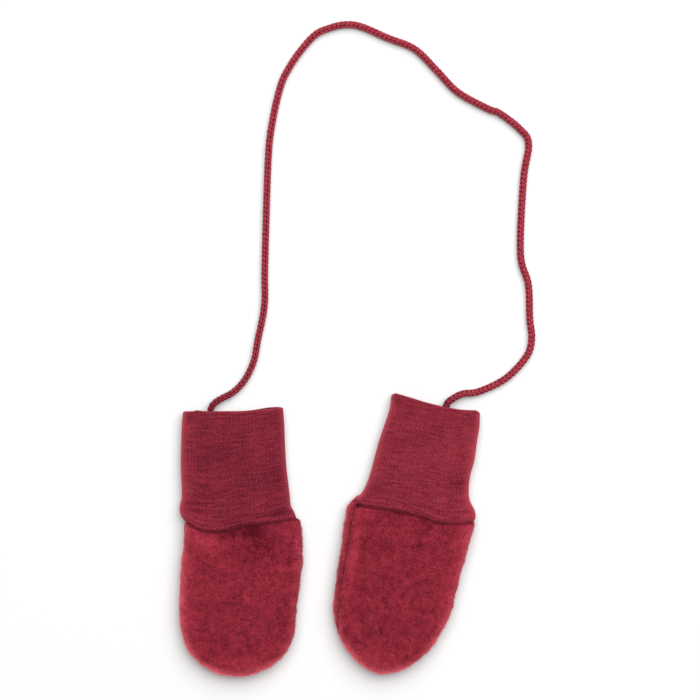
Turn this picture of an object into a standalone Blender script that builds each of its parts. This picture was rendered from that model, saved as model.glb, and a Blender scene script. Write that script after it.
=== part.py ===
"""A pair of baby mittens laid out flat, joined by one knitted cord.

Each mitten is an upper and a lower panel of thick wool fleece, seamed all round, and a cuff of fine
rib knit that is folded double at its mouth. The cord is sewn into both mouths.

The floor is at z = 0 and +Y points from the finger tips to the cuffs. The origin is on the floor at
the middle of the box around the two mittens. Tables are in millimetres, meshes in metres.

Each mitten has its own axes: "across" runs to its right and "down" runs from the seam of its cuff
to its tip. Both mittens lie palm down, so the upper panel is the one that is seen.
"""
import math

import bmesh
import bpy
from mathutils import Vector

MM = 0.001
SEAM_GAP = 0.3

# Cloth of the bodies
FLEECE_WALL = 2.6
BODY_EDGE_RADIUS = 5.5
BODY_CROWN = 1.5
SEAM_SQUEEZE = 0.12
SEAM_SQUEEZE_REACH = 12.0
SEAM_CURVE_REACH = 18.0
GROOVE_DEPTH = 0.5
GROOVE_WIDTH = 0.22

# Cloth of the cuffs
CUFF_WALL = 2.0

# Cord
CORD_DIAMETER = 3.8
CORD_POINTS = 76

# How finely the cloth is divided
EDGE_STEPS = (0.0, 0.08, 0.25, 0.5, 0.75, 1.0)
CROWN_STEPS = (0.2, 0.45, 0.7, 1.0)
SPOKES = 40
SPOKE_BUNCHING = 0.45
SIDE_STEPS = 7
FACE_STEPS = 10
CUFF_OUTER_ROWS = (0.0, 0.1, 0.22, 0.36, 0.5, 0.62, 0.73, 0.81, 0.86, 0.89, 0.92, 0.95, 0.975, 1.0)
CUFF_INNER_ROWS = (1.0, 0.92, 0.78, 0.6, 0.42, 0.24, 0.1, 0.0)
FOLD_ANGLES = (50.0, 0.0, -50.0)

# Where the mittens lie: the middle of each cuff seam, and the turn of the mitten in degrees
LEFT_PLACE = (-50.3, 8.4)
LEFT_TURN = 0.0
RIGHT_PLACE = (48.0, 12.9)
RIGHT_TURN = -11.0

# Body outlines. The last row is the tip, and its two edges meet.
LEFT_BODY = (
    # down, left edge, right edge
    (1.0, -30.4, 33.2),
    (5.6, -31.2, 34.3),
    (12.3, -31.8, 34.9),
    (22.4, -32.7, 34.7),
    (34.0, -33.5, 33.5),
    (49.0, -33.9, 32.3),
    (59.4, -33.7, 31.7),
    (66.1, -32.2, 29.9),
    (72.8, -29.1, 26.5),
    (79.5, -23.5, 21.3),
    (84.0, -16.6, 13.6),
    (86.6, -8.2, 6.2),
    (87.4, -1.0, -1.0),
)
RIGHT_BODY = (
    # down, left edge, right edge
    (1.0, -36.6, 33.4),
    (6.0, -37.9, 33.6),
    (15.0, -37.9, 32.4),
    (27.0, -37.3, 31.9),
    (45.0, -37.0, 31.1),
    (55.0, -35.6, 29.9),
    (65.0, -33.7, 26.6),
    (71.0, -31.9, 23.9),
    (75.6, -29.8, 21.6),
    (81.0, -24.4, 17.9),
    (86.0, -18.5, 12.8),
    (90.0, -13.4, 7.2),
    (92.0, -7.6, 1.4),
    (92.9, -3.0, -3.0),
)

# The line where a cuff is sewn to its body
LEFT_SEAM = (
    # across, down
    (-34.0, -0.6),
    (-29.8, 0.7),
    (-24.2, 4.3),
    (-18.0, 6.1),
    (-9.0, 5.9),
    (0.0, 3.9),
    (10.0, 2.4),
    (22.4, 0.0),
    (29.0, -0.8),
    (35.0, -1.0),
)
RIGHT_SEAM = (
    # across, down
    (-38.0, 0.4),
    (-34.4, -0.2),
    (-31.4, 1.8),
    (-24.0, 1.7),
    (-10.0, 1.2),
    (3.5, 1.8),
    (14.0, 2.8),
    (22.0, 2.0),
    (34.0, -1.4),
)

# The folded edge of each cuff's mouth, for its upper and its lower layer
LEFT_MOUTH = (
    # across, down of the upper layer, down of the lower layer
    (-33.0, -60.8, -60.8),
    (-28.0, -61.0, -61.0),
    (0.0, -60.9, -61.0),
    (8.0, -61.2, -61.6),
    (16.0, -62.2, -62.9),
    (25.0, -63.1, -63.4),
)
RIGHT_MOUTH = (
    # across, down of the upper layer, down of the lower layer
    (-26.0, -61.9, -61.9),
    (-21.0, -62.8, -62.8),
    (-14.0, -62.3, -62.3),
    (-7.0, -61.5, -61.5),
    (0.0, -61.1, -61.1),
    (12.0, -61.0, -61.0),
    (23.0, -61.9, -61.9),
    (26.0, -61.5, -61.5),
)

# Cuff sections, from the mouth (0) to the seam (1)
LEFT_CUFF = (
    # place, left edge, right edge, side radius, crown
    (0.0, -31.9, 24.0, 4.6, 0.4),
    (0.12, -32.5, 24.6, 4.6, 0.5),
    (0.36, -33.0, 25.2, 4.6, 0.6),
    (0.55, -33.0, 26.0, 4.6, 0.7),
    (0.77, -32.5, 27.6, 4.6, 0.8),
    (0.88, -33.6, 28.3, 4.7, 1.1),
    (0.94, -33.4, 30.1, 4.9, 1.4),
    (1.0, -31.0, 31.7, 4.6, 1.2),
)
RIGHT_CUFF = (
    # place, left edge, right edge, side radius, crown
    (0.0, -25.6, 24.9, 4.6, 0.4),
    (0.12, -25.1, 26.0, 4.6, 0.5),
    (0.25, -26.2, 26.2, 4.6, 0.6),
    (0.42, -27.6, 26.8, 4.6, 0.7),
    (0.56, -28.2, 26.1, 4.6, 0.7),
    (0.7, -28.8, 26.8, 4.6, 0.8),
    (0.8, -29.7, 28.6, 4.6, 1.0),
    (0.89, -31.3, 32.0, 4.8, 1.2),
    (0.95, -33.0, 33.3, 4.9, 1.3),
    (1.0, -34.6, 33.0, 4.6, 1.2),
)

# How far the side seam has rolled up onto the top along the left edge, in degrees
SIDE_SEAM_FLAT = (
    # down, angle
    (0.0, 0.0),
    (100.0, 0.0),
)
SIDE_SEAM_ROLLED = (
    # down, angle
    (0.0, 69.0),
    (58.0, 69.0),
    (66.0, 52.0),
    (78.0, 0.0),
    (100.0, 0.0),
)

# Soft hollows in the top of the cloth
LEFT_HOLLOWS = (
    # across, down, turn, half length, half width, depth
    (8.0, 13.0, 0.0, 17.0, 7.0, 0.9),
    (22.4, 33.0, 40.0, 9.0, 4.0, 0.5),
    (21.5, -6.4, -8.0, 8.0, 1.8, 0.8),
    (-24.0, -9.0, 0.0, 7.0, 2.0, 0.6),
)
RIGHT_HOLLOWS = (
    # across, down, turn, half length, half width, depth
    (4.0, 11.0, 5.0, 18.0, 6.0, 0.7),
    (-6.0, 60.0, 20.0, 16.0, 9.0, 0.5),
    (19.0, -21.0, 0.0, 7.0, 4.0, 0.5),
)

# Cord route, from inside the left cuff to inside the right one
CORD_ROUTE = (
    # x, y, height of the cord's middle
    (-67.9, 57.7, 4.25),
    (-66.9, 69.3, 4.25),
    (-65.1, 73.3, 3.9),
    (-61.2, 76.2, 2.9),
    (-55.0, 79.4, 2.1),
    (-50.1, 83.8, 2.0),
    (-46.0, 89.7, 2.0),
    (-42.4, 98.3, 2.0),
    (-40.4, 109.1, 2.0),
    (-36.7, 128.6, 2.0),
    (-36.4, 152.0, 2.0),
    (-34.6, 209.6, 2.0),
    (-32.4, 230.5, 2.0),
    (-27.7, 251.4, 2.0),
    (-22.9, 261.8, 2.0),
    (-16.4, 271.4, 2.0),
    (-8.1, 280.5, 2.0),
    (-0.1, 284.2, 2.0),
    (8.6, 286.1, 2.0),
    (17.6, 285.0, 2.0),
    (32.5, 278.6, 2.0),
    (47.6, 272.4, 2.0),
    (59.8, 260.5, 2.0),
    (71.8, 248.2, 2.0),
    (88.7, 238.9, 2.0),
    (95.2, 236.4, 2.0),
    (106.2, 227.9, 2.0),
    (111.5, 219.4, 2.0),
    (108.6, 199.1, 2.0),
    (106.9, 157.9, 2.0),
    (111.3, 140.6, 2.0),
    (112.1, 121.3, 2.0),
    (113.2, 110.3, 2.0),
    (110.4, 100.2, 2.0),
    (98.8, 87.8, 2.0),
    (83.8, 80.4, 2.0),
    (74.7, 79.1, 2.8),
    (68.8, 76.2, 3.9),
    (65.3, 72.5, 4.25),
    (62.1, 59.5, 4.25),
)

# Colours, in linear light, and finish of the cloth
FLEECE_COLOUR = (0.262, 0.02, 0.033, 1.0)
RIB_COLOUR = (0.235, 0.02, 0.036, 1.0)
CORD_COLOUR = (0.37, 0.032, 0.062, 1.0)
CLOTH_ROUGHNESS = 0.95


def fade(value, start, end):
    """One before start, nothing past end, and a smooth change between them."""
    share = min(1.0, max(0.0, (value - start) / (end - start)))
    return 1.0 - share * share * (3.0 - 2.0 * share)


def smooth_line(points, steps=8):
    """The smooth line that runs through the points, as Catmull-Rom spans of some steps each."""
    points = [Vector(point) for point in points]
    ends = [2.0 * points[0] - points[1]] + points + [2.0 * points[-1] - points[-2]]
    line = []
    for before, start, end, after in zip(ends, ends[1:], ends[2:], ends[3:]):
        for step in range(steps):
            t = step / steps
            bend = 2.0 * before - 5.0 * start + 4.0 * end - after
            twist = 3.0 * start - before - 3.0 * end + after
            line.append(start + 0.5 * ((end - before) * t + bend * t * t + twist * t ** 3))
    line.append(points[-1])
    return line


def points_along(line, shares):
    """Points of a line at the given shares of its length."""
    reached = [0.0]
    for start, end in zip(line, line[1:]):
        reached.append(reached[-1] + (end - start).length)
    found = []
    span = 0
    for share in shares:
        target = share * reached[-1]
        while span < len(line) - 2 and reached[span + 1] < target:
            span += 1
        part = (target - reached[span]) / (reached[span + 1] - reached[span])
        found.append(line[span].lerp(line[span + 1], part))
    return found


def read(table, place, column=1):
    """A column of a table at a place in its first column, on the smooth line through its rows."""
    line = smooth_line([(row[0], row[column]) for row in table])
    if place <= line[0].x:
        return line[0].y
    for start, end in zip(line, line[1:]):
        if place <= end.x:
            return start.y + (end.y - start.y) * (place - start.x) / (end.x - start.x)
    return line[-1].y


def hollow_depth(hollows, across, down):
    """How much the soft hollows lower the cloth at a point."""
    depth = 0.0
    for middle, level, turn, half_length, half_width, deepest in hollows:
        angle = math.radians(turn)
        step_across = across - middle
        step_down = down - level
        along = step_across * math.cos(angle) + step_down * math.sin(angle)
        aside = step_down * math.cos(angle) - step_across * math.sin(angle)
        depth += deepest * math.exp(-(along / half_length) ** 2 - (aside / half_width) ** 2)
    return depth


def material(name, colour):
    """A plain cloth material."""
    finish = bpy.data.materials.new(name)
    finish.use_nodes = True
    shader = finish.node_tree.nodes["Principled BSDF"]
    shader.inputs["Base Color"].default_value = colour
    shader.inputs["Roughness"].default_value = CLOTH_ROUGHNESS
    shader.inputs["Metallic"].default_value = 0.0
    return finish


def add_cloth(name, collection, place, finish, build):
    """An object whose closed cloth mesh the build function fills in, in millimetres."""
    mesh = bpy.data.meshes.new(name)
    cloth = bmesh.new()
    build(cloth)
    bmesh.ops.remove_doubles(cloth, verts=cloth.verts, dist=0.01)
    bmesh.ops.recalc_face_normals(cloth, faces=cloth.faces)
    bmesh.ops.scale(cloth, vec=(MM, MM, MM), verts=cloth.verts)
    cloth.to_mesh(mesh)
    cloth.free()
    mesh.shade_smooth()
    mesh.materials.append(finish)
    piece = bpy.data.objects.new(name, mesh)
    piece.parent = place
    collection.objects.link(piece)
    return piece


def loft(cloth, rows, closed_rows=False):
    """Faces between neighbouring rows of points, and round each row if the rows are closed."""
    grid = [[cloth.verts.new(point) for point in row] for row in rows]
    for row, after in zip(grid, grid[1:]):
        pairs = list(zip(row, row[1:], after[1:], after))
        if closed_rows:
            pairs.append((row[-1], row[0], after[0], after[-1]))
        for corners in pairs:
            cloth.faces.new(corners)


class Body:
    """The two fleece panels of one mitten, in the mitten's own axes."""

    def __init__(self, outline, seam, side_seam, hollows):
        self.outline = outline
        self.seam = seam
        self.side_seam = side_seam
        self.hollows = hollows
        self.start = outline[0][0]
        tip = outline[-1]
        sides = outline[:-1]
        loop = [(left, down) for down, left, right in sides]
        loop.append((tip[1], tip[0]))
        loop.extend((right, down) for down, left, right in reversed(sides))
        self.tip_index = SPOKES // 2
        shares = [self.bunched(index / SPOKES) for index in range(SPOKES + 1)]
        self.edge = points_along(smooth_line(loop), shares)
        widest = max(right - left for down, left, right in sides)
        self.fan_down = tip[0] - 0.46 * widest
        self.fan_across = self.middle(self.fan_down)

    def bunched(self, share):
        """Shares of the outline that lie closer together at the seam and at the tip."""
        turns = 4.0 * math.pi
        return share - SPOKE_BUNCHING * math.sin(turns * share) / turns

    def middle(self, down):
        """The middle of the body at one level."""
        left = read(self.outline[:-1], down, 1)
        right = read(self.outline[:-1], down, 2)
        return 0.5 * (left + right)

    def spine(self, down):
        """Where the two sides meet: down the middle, and all together near the tip."""
        if down >= self.fan_down:
            return Vector((self.fan_across, self.fan_down))
        return Vector((self.middle(down), down))

    def settle(self, across, down, height):
        """Bend the cloth to the cuff's seam and squeeze it there, as the sewing does."""
        bend = read(self.seam, across) + 0.5 * SEAM_GAP - self.start
        new_down = down + bend * fade(down, self.start, self.start + SEAM_CURVE_REACH)
        squeeze = SEAM_SQUEEZE * fade(down, self.start, self.start + SEAM_SQUEEZE_REACH)
        return Vector((across, -new_down, height * (1.0 - squeeze)))

    def panel(self, cloth, side):
        """One panel: side is 1 for the upper one and -1 for the lower one."""
        outer = []
        inner = []
        for index, edge in enumerate(self.edge):
            mirror = self.edge[SPOKES - index]
            spine = self.spine(0.5 * (edge.y + mirror.y))
            reach = (spine - edge).length
            inward = (spine - edge) / reach
            rolled = math.radians(read(self.side_seam, edge.y)) if index <= self.tip_index else 0.0
            turn = side * 0.5 * math.pi - rolled
            outer_row = []
            inner_row = []
            for step in EDGE_STEPS:
                angle = rolled + turn * step
                groove = GROOVE_DEPTH * math.exp(-((angle - rolled) / GROOVE_WIDTH) ** 2)
                shift = 0.5 * SEAM_GAP * side * (1.0 - step)
                slide = Vector((math.sin(angle), math.cos(angle))) * shift
                for row, radius in (
                    (outer_row, BODY_EDGE_RADIUS - groove),
                    (inner_row, BODY_EDGE_RADIUS - FLEECE_WALL),
                ):
                    inset = BODY_EDGE_RADIUS - radius * math.cos(angle) + slide.x
                    height = BODY_EDGE_RADIUS + radius * math.sin(angle) + slide.y
                    row.append((inset, height))
            for step in CROWN_STEPS:
                inset = BODY_EDGE_RADIUS + (reach - BODY_EDGE_RADIUS) * step
                crown = BODY_CROWN * 0.5 * (1.0 - math.cos(math.pi * step))
                if side > 0:
                    top = 2.0 * BODY_EDGE_RADIUS + crown
                    outer_row.append((inset, top))
                    inner_row.append((inset, top - FLEECE_WALL))
                else:
                    outer_row.append((inset, 0.0))
                    inner_row.append((inset, FLEECE_WALL))
            outer.append([self.place(edge, inward, side, *point) for point in outer_row])
            inner.append([self.place(edge, inward, side, *point) for point in inner_row])
        loft(cloth, outer)
        loft(cloth, inner)
        loft(cloth, [[row[0] for row in outer], [row[0] for row in inner]])
        loft(cloth, [outer[0], inner[0]])
        loft(cloth, [outer[-1], inner[-1]])

    def place(self, edge, inward, side, inset, height):
        """A point of a panel, at a distance in from the outline."""
        point = edge + inward * inset
        if side > 0:
            share = fade(height, 2.0 * BODY_EDGE_RADIUS - FLEECE_WALL, BODY_EDGE_RADIUS)
            height -= (1.0 - share) * hollow_depth(self.hollows, point.x, point.y)
        return self.settle(point.x, point.y, height)


class Cuff:
    """The folded knit tube of one mitten, in the mitten's own axes."""

    def __init__(self, sections, mouth, seam, hollows):
        self.sections = sections
        self.mouth = mouth
        self.seam = seam
        self.hollows = hollows

    def section(self, place):
        """Points round the tube with their outward directions, at one place along it."""
        left, right, radius, crown = (read(self.sections, place, column) for column in (1, 2, 3, 4))
        start = left + radius
        end = right - radius
        points = []
        for step in range(SIDE_STEPS + 1):
            angle = math.pi * (0.5 - step / SIDE_STEPS)
            away = Vector((math.cos(angle), math.sin(angle)))
            points.append((Vector((end, radius)) + away * radius, away))
        for step in range(1, FACE_STEPS):
            across = end + (start - end) * step / FACE_STEPS
            points.append((Vector((across, 0.0)), Vector((0.0, -1.0))))
        for step in range(SIDE_STEPS + 1):
            angle = -math.pi * (0.5 + step / SIDE_STEPS)
            away = Vector((math.cos(angle), math.sin(angle)))
            points.append((Vector((start, radius)) + away * radius, away))
        for step in range(1, FACE_STEPS):
            share = step / FACE_STEPS
            height = 2.0 * radius + crown * math.sin(math.pi * share)
            points.append((Vector((start + (end - start) * share, height)), Vector((0.0, 1.0))))
        return points, 2.0 * radius

    def ring(self, place, depth, from_mouth=0.0):
        """One closed row of points, sunk into the wall by a depth."""
        points, thickness = self.section(place)
        row = []
        for point, away in points:
            sunk = point - away * depth
            upper = min(1.0, max(0.0, point.y / thickness))
            mouth_low = read(self.mouth, point.x, 2)
            mouth = mouth_low + (read(self.mouth, point.x, 1) - mouth_low) * upper
            seam = read(self.seam, point.x) - 0.5 * SEAM_GAP
            down = mouth + from_mouth + (seam - mouth - from_mouth) * place
            height = sunk.y
            if away.y > 0.5:
                height -= hollow_depth(self.hollows, sunk.x, down)
            row.append((sunk.x, -down, height))
        return row

    def tube(self, cloth):
        """The wall: up its outside, over the fold at the mouth and back down its inside."""
        half = 0.5 * CUFF_WALL
        rows = [self.ring(place, 0.0, half) for place in reversed(CUFF_OUTER_ROWS)]
        for degrees in FOLD_ANGLES:
            angle = math.radians(degrees)
            rows.append(self.ring(0.0, half * (1.0 - math.sin(angle)), half * (1.0 - math.cos(angle))))
        rows.extend(self.ring(place, CUFF_WALL, half) for place in reversed(CUFF_INNER_ROWS))
        rows.append(rows[0])
        loft(cloth, rows, closed_rows=True)


def add_mitten(side, collection, place, turn, body, cuff, finishes):
    """The two panels and the cuff of one mitten, on an empty at the middle of its cuff seam."""
    middle = bpy.data.objects.new(side + "_mitten", None)
    middle.location = (place[0] * MM, place[1] * MM, 0.0)
    middle.rotation_euler = (0.0, 0.0, math.radians(turn))
    collection.objects.link(middle)
    fleece, rib = finishes
    add_cloth(side + "_upper_panel", collection, middle, fleece, lambda cloth: body.panel(cloth, 1))
    add_cloth(side + "_lower_panel", collection, middle, fleece, lambda cloth: body.panel(cloth, -1))
    add_cloth(side + "_cuff", collection, middle, rib, cuff.tube)


def add_cord(collection, finish):
    """The cord, a round tube along its route."""
    shares = [index / (CORD_POINTS - 1) for index in range(CORD_POINTS)]
    curve = bpy.data.curves.new("cord", "CURVE")
    curve.dimensions = "3D"
    curve.bevel_depth = 0.5 * CORD_DIAMETER * MM
    curve.bevel_resolution = 2
    curve.use_fill_caps = True
    spline = curve.splines.new("POLY")
    spline.points.add(CORD_POINTS - 1)
    for point, spot in zip(spline.points, points_along(smooth_line(CORD_ROUTE), shares)):
        point.co = (spot.x * MM, spot.y * MM, spot.z * MM, 1.0)
    curve.materials.append(finish)
    collection.objects.link(bpy.data.objects.new("cord", curve))


for old in list(bpy.data.objects):
    bpy.data.objects.remove(old)

mittens = bpy.data.collections.new("pair_of_baby_mittens")
bpy.context.scene.collection.children.link(mittens)
cloths = (material("wool_fleece", FLEECE_COLOUR), material("rib_knit", RIB_COLOUR))
left_body = Body(LEFT_BODY, LEFT_SEAM, SIDE_SEAM_FLAT, LEFT_HOLLOWS)
right_body = Body(RIGHT_BODY, RIGHT_SEAM, SIDE_SEAM_ROLLED, RIGHT_HOLLOWS)
left_cuff = Cuff(LEFT_CUFF, LEFT_MOUTH, LEFT_SEAM, LEFT_HOLLOWS)
right_cuff = Cuff(RIGHT_CUFF, RIGHT_MOUTH, RIGHT_SEAM, RIGHT_HOLLOWS)
add_mitten("left", mittens, LEFT_PLACE, LEFT_TURN, left_body, left_cuff, cloths)
add_mitten("right", mittens, RIGHT_PLACE, RIGHT_TURN, right_body, right_cuff, cloths)
add_cord(mittens, material("knit_cord", CORD_COLOUR))
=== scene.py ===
# A pair of baby mittens on one knitted cord, laid out flat and seen from straight above.
import math

import bmesh
import bpy
from mathutils import Matrix, Vector, kdtree, noise


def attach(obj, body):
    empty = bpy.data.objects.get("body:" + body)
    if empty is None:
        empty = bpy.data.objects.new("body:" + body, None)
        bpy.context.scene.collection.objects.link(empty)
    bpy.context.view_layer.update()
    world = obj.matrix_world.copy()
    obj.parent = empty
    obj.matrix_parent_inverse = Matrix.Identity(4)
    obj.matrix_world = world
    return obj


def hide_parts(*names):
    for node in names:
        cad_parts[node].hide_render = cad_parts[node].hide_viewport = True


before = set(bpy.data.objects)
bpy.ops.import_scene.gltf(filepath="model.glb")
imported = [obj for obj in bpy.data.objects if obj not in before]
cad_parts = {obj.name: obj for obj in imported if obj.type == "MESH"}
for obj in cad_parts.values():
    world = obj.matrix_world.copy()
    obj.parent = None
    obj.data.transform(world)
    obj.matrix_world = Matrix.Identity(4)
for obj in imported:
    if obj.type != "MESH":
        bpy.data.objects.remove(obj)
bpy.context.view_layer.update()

# The table: a big soft light from the upper right and white walls all round. The sheet of paper
# has a wider softbox of its own, and is so bright that its grey shows white. The camera looks
# straight down through a long lens, with the cuffs at the top.
MM = 0.001
PIXEL = 0.56 * MM
PICTURE_PIXELS = 700
PICTURE_CENTRE = (11.3 * MM, 103.6 * MM)
CAMERA_HEIGHT = 2.0
SENSOR_WIDTH = 36.0
CLOTH_MIDDLE = 5.0 * MM
PAPER_SIZE = 6.0
PAPER_COLOUR = (0.42, 0.42, 0.42, 1.0)
WALL_LIGHT = 0.46
LIGHT_FROM = (0.2, 0.42, 1.0)
LIGHT_POWER = 100.0
PAPER_LIGHT_FROM = (0.2, 0.5, 1.0)
PAPER_LIGHT_POWER = 320.0
LIGHT_DISTANCE = 3.0
LIGHT_SIZE = 3.4
PAPER_LIGHT_SIZE = 4.6

camera_data = bpy.data.cameras.new("camera")
camera_data.sensor_width = SENSOR_WIDTH
camera_data.lens = SENSOR_WIDTH * (CAMERA_HEIGHT - CLOTH_MIDDLE) / (PICTURE_PIXELS * PIXEL)
camera = bpy.data.objects.new("camera", camera_data)
camera.location = (PICTURE_CENTRE[0], PICTURE_CENTRE[1], CAMERA_HEIGHT)
bpy.context.scene.collection.objects.link(camera)
bpy.context.scene.camera = camera

paper_shape = bmesh.new()
bmesh.ops.create_grid(paper_shape, x_segments=1, y_segments=1, size=0.5 * PAPER_SIZE)
paper_mesh = bpy.data.meshes.new("paper")
paper_shape.to_mesh(paper_mesh)
paper_shape.free()
paper_finish = bpy.data.materials.new("white_paper")
paper_finish.use_nodes = True
paper_finish.node_tree.nodes["Principled BSDF"].inputs["Base Color"].default_value = PAPER_COLOUR
paper_finish.node_tree.nodes["Principled BSDF"].inputs["Roughness"].default_value = 0.9
paper_mesh.materials.append(paper_finish)
paper = bpy.data.objects.new("paper", paper_mesh)
bpy.context.scene.collection.objects.link(paper)

room = bpy.data.worlds.new("room")
room.use_nodes = True
room.node_tree.nodes["Background"].inputs["Color"].default_value = (1.0, 1.0, 1.0, 1.0)
room.node_tree.nodes["Background"].inputs["Strength"].default_value = WALL_LIGHT
bpy.context.scene.world = room
bpy.context.scene.view_settings.view_transform = "Standard"

for name, light_from, power, size, state in (
    ("softbox", LIGHT_FROM, LIGHT_POWER, LIGHT_SIZE, "EXCLUDE"),
    ("paper_softbox", PAPER_LIGHT_FROM, PAPER_LIGHT_POWER, PAPER_LIGHT_SIZE, "INCLUDE"),
):
    softbox_data = bpy.data.lights.new(name, "AREA")
    softbox_data.shape = "DISK"
    softbox_data.size = size
    softbox_data.energy = power
    softbox = bpy.data.objects.new(name, softbox_data)
    light_way = Vector(light_from).normalized()
    softbox.location = Vector((*PICTURE_CENTRE, 0.0)) + light_way * LIGHT_DISTANCE
    softbox.rotation_euler = light_way.to_track_quat("Z", "Y").to_euler()
    bpy.context.scene.collection.objects.link(softbox)
    lit = bpy.data.collections.new(name + "_lights")
    lit.objects.link(paper)
    lit.collection_objects[0].light_linking.link_state = state
    softbox.light_linking.receiver_collection = lit

# The cord: a round wool cord, knitted as a thin tube of four columns of V stitches, two slanted
# legs to a stitch. Its ends are sewn inside the mouths of the two cuffs.
CORD_DIAMETER = 3.8 * MM
CORD_CORE_RADIUS = 0.8 * MM
CORD_COLUMNS = 4
CORD_COURSE = 2.49 * MM
CORD_TURN = math.radians(0.2)
LEG_SEAT = 1.4 * MM
LEG_HALF_SIZES = (1.55 * MM, 0.6 * MM, 0.68 * MM)
LEG_SLANT = math.radians(-15.0)
LEG_SPREAD = math.radians(25.5)
CORE_SIDES = 10
CORE_STEP = 2.0 * MM
GROOVE_DEPTH = 0.52 * MM
PAPER_GAP = 0.02 * MM
CORD_ROUTE = (
    # x, y and height of the cord's middle, in mm, from inside the left cuff to inside the right one
    (-67.9, 57.7, 4.25),
    (-66.9, 69.3, 4.25),
    (-65.1, 73.3, 3.9),
    (-61.2, 76.2, 2.9),
    (-55.0, 79.4, 2.1),
    (-50.1, 83.8, 2.0),
    (-46.0, 89.7, 2.0),
    (-42.4, 98.3, 2.0),
    (-40.4, 109.1, 2.0),
    (-36.7, 128.6, 2.0),
    (-36.4, 152.0, 2.0),
    (-34.6, 209.6, 2.0),
    (-32.4, 230.5, 2.0),
    (-27.7, 251.4, 2.0),
    (-22.9, 261.8, 2.0),
    (-16.4, 271.4, 2.0),
    (-8.1, 280.5, 2.0),
    (-0.1, 284.2, 2.0),
    (8.6, 286.1, 2.0),
    (17.6, 285.0, 2.0),
    (32.5, 278.6, 2.0),
    (47.6, 272.4, 2.0),
    (59.8, 260.5, 2.0),
    (71.8, 248.2, 2.0),
    (88.7, 238.9, 2.0),
    (95.2, 236.4, 2.0),
    (106.2, 227.9, 2.0),
    (111.5, 219.4, 2.0),
    (108.6, 199.1, 2.0),
    (106.9, 157.9, 2.0),
    (111.3, 140.6, 2.0),
    (112.1, 121.3, 2.0),
    (113.2, 110.3, 2.0),
    (110.4, 100.2, 2.0),
    (98.8, 87.8, 2.0),
    (83.8, 80.4, 2.0),
    (74.7, 79.1, 2.8),
    (68.8, 76.2, 3.9),
    (65.3, 72.5, 4.25),
    (62.1, 59.5, 4.25),
)
PATH_STEP = 0.5 * MM
TANGENT_STEPS = 2
SPAN_STEPS = 8
CORD_TONES = (
    # mm from the left end, how dark: the cord lies deep in shade at the mouths
    (0.0, 0.6),
    (12.0, 0.54),
    (17.0, 0.38),
    (22.0, 0.31),
    (31.0, 0.25),
    (42.0, 0.18),
    (65.0, 0.12),
    (110.0, 0.07),
    (300.0, 0.0),
    (450.0, 0.0),
    (520.0, 0.0),
    (540.0, 0.0),
    (548.0, 0.06),
    (555.0, 0.24),
    (562.0, 0.5),
    (575.0, 0.6),
)
table_lines = {}


def linear(red, green, blue):
    """A colour read off a screen, 0 to 255, as the linear light that a shader takes."""
    return tuple((channel / 255.0) ** 2.2 for channel in (red, green, blue)) + (1.0,)


def add_node(tree, kind, settings=None, inputs=None):
    """A shader or geometry node with its settings, and its inputs set or linked."""
    node = tree.nodes.new(kind)
    for name, value in (settings or {}).items():
        setattr(node, name, value)
    for name, value in (inputs or {}).items():
        if isinstance(value, bpy.types.NodeSocket):
            tree.links.new(value, node.inputs[name])
        else:
            node.inputs[name].default_value = value
    return node


def smooth_line(points):
    """The smooth line that runs through the points, as Catmull-Rom spans of a few steps each."""
    points = [Vector(point) for point in points]
    ends = [2.0 * points[0] - points[1]] + points + [2.0 * points[-1] - points[-2]]
    line = []
    for before, start, end, after in zip(ends, ends[1:], ends[2:], ends[3:]):
        for step in range(SPAN_STEPS):
            t = step / SPAN_STEPS
            bend = 2.0 * before - 5.0 * start + 4.0 * end - after
            twist = 3.0 * start - before - 3.0 * end + after
            line.append(start + 0.5 * ((end - before) * t + bend * t * t + twist * t ** 3))
    line.append(points[-1])
    return line


def spaced_line(line, step):
    """The same line as points a step apart, with its length."""
    spaced = [line[0]]
    reached = 0.0
    for start, end in zip(line, line[1:]):
        span = (end - start).length
        while len(spaced) * step <= reached + span:
            spaced.append(start.lerp(end, (len(spaced) * step - reached) / span))
        reached += span
    return spaced, reached


def read(table, column, place):
    """A column of a table at a place in its first column, on the smooth line through its rows."""
    line = table_lines.get((table, column))
    if line is None:
        line = smooth_line([(row[0], row[column]) for row in table])
        table_lines[(table, column)] = line
    if place <= line[0].x:
        return line[0].y
    for start, end in zip(line, line[1:]):
        if place <= end.x:
            return start.y + (end.y - start.y) * (place - start.x) / (end.x - start.x)
    return line[-1].y


def finished_piece(name, shape, material, smooth=True):
    """An object of a bmesh, in the scene and riding on the part."""
    mesh = bpy.data.meshes.new(name)
    shape.to_mesh(mesh)
    shape.free()
    if smooth:
        mesh.shade_smooth()
    mesh.materials.append(material)
    piece = bpy.data.objects.new(name, mesh)
    bpy.context.scene.collection.objects.link(piece)
    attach(piece, "root")
    return piece


cord_line, cord_length = spaced_line(smooth_line([Vector(p) * MM for p in CORD_ROUTE]), PATH_STEP)


def on_cord(point):
    """A point of the straight cord, which lies along +X, moved to its place on the route."""
    steps = min(max(point.x / PATH_STEP, 0.0), len(cord_line) - 2.001)
    index = int(steps)
    middle = cord_line[index].lerp(cord_line[index + 1], steps - index)
    before = cord_line[max(index - TANGENT_STEPS, 0)]
    after = cord_line[min(index + 1 + TANGENT_STEPS, len(cord_line) - 1)]
    along = (after - before).normalized()
    side = Vector((-along.y, along.x, 0.0)).normalized()
    up = along.cross(side)
    spot = middle + side * point.y + up * point.z
    spot.z = max(spot.z, PAPER_GAP)
    return spot


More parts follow.
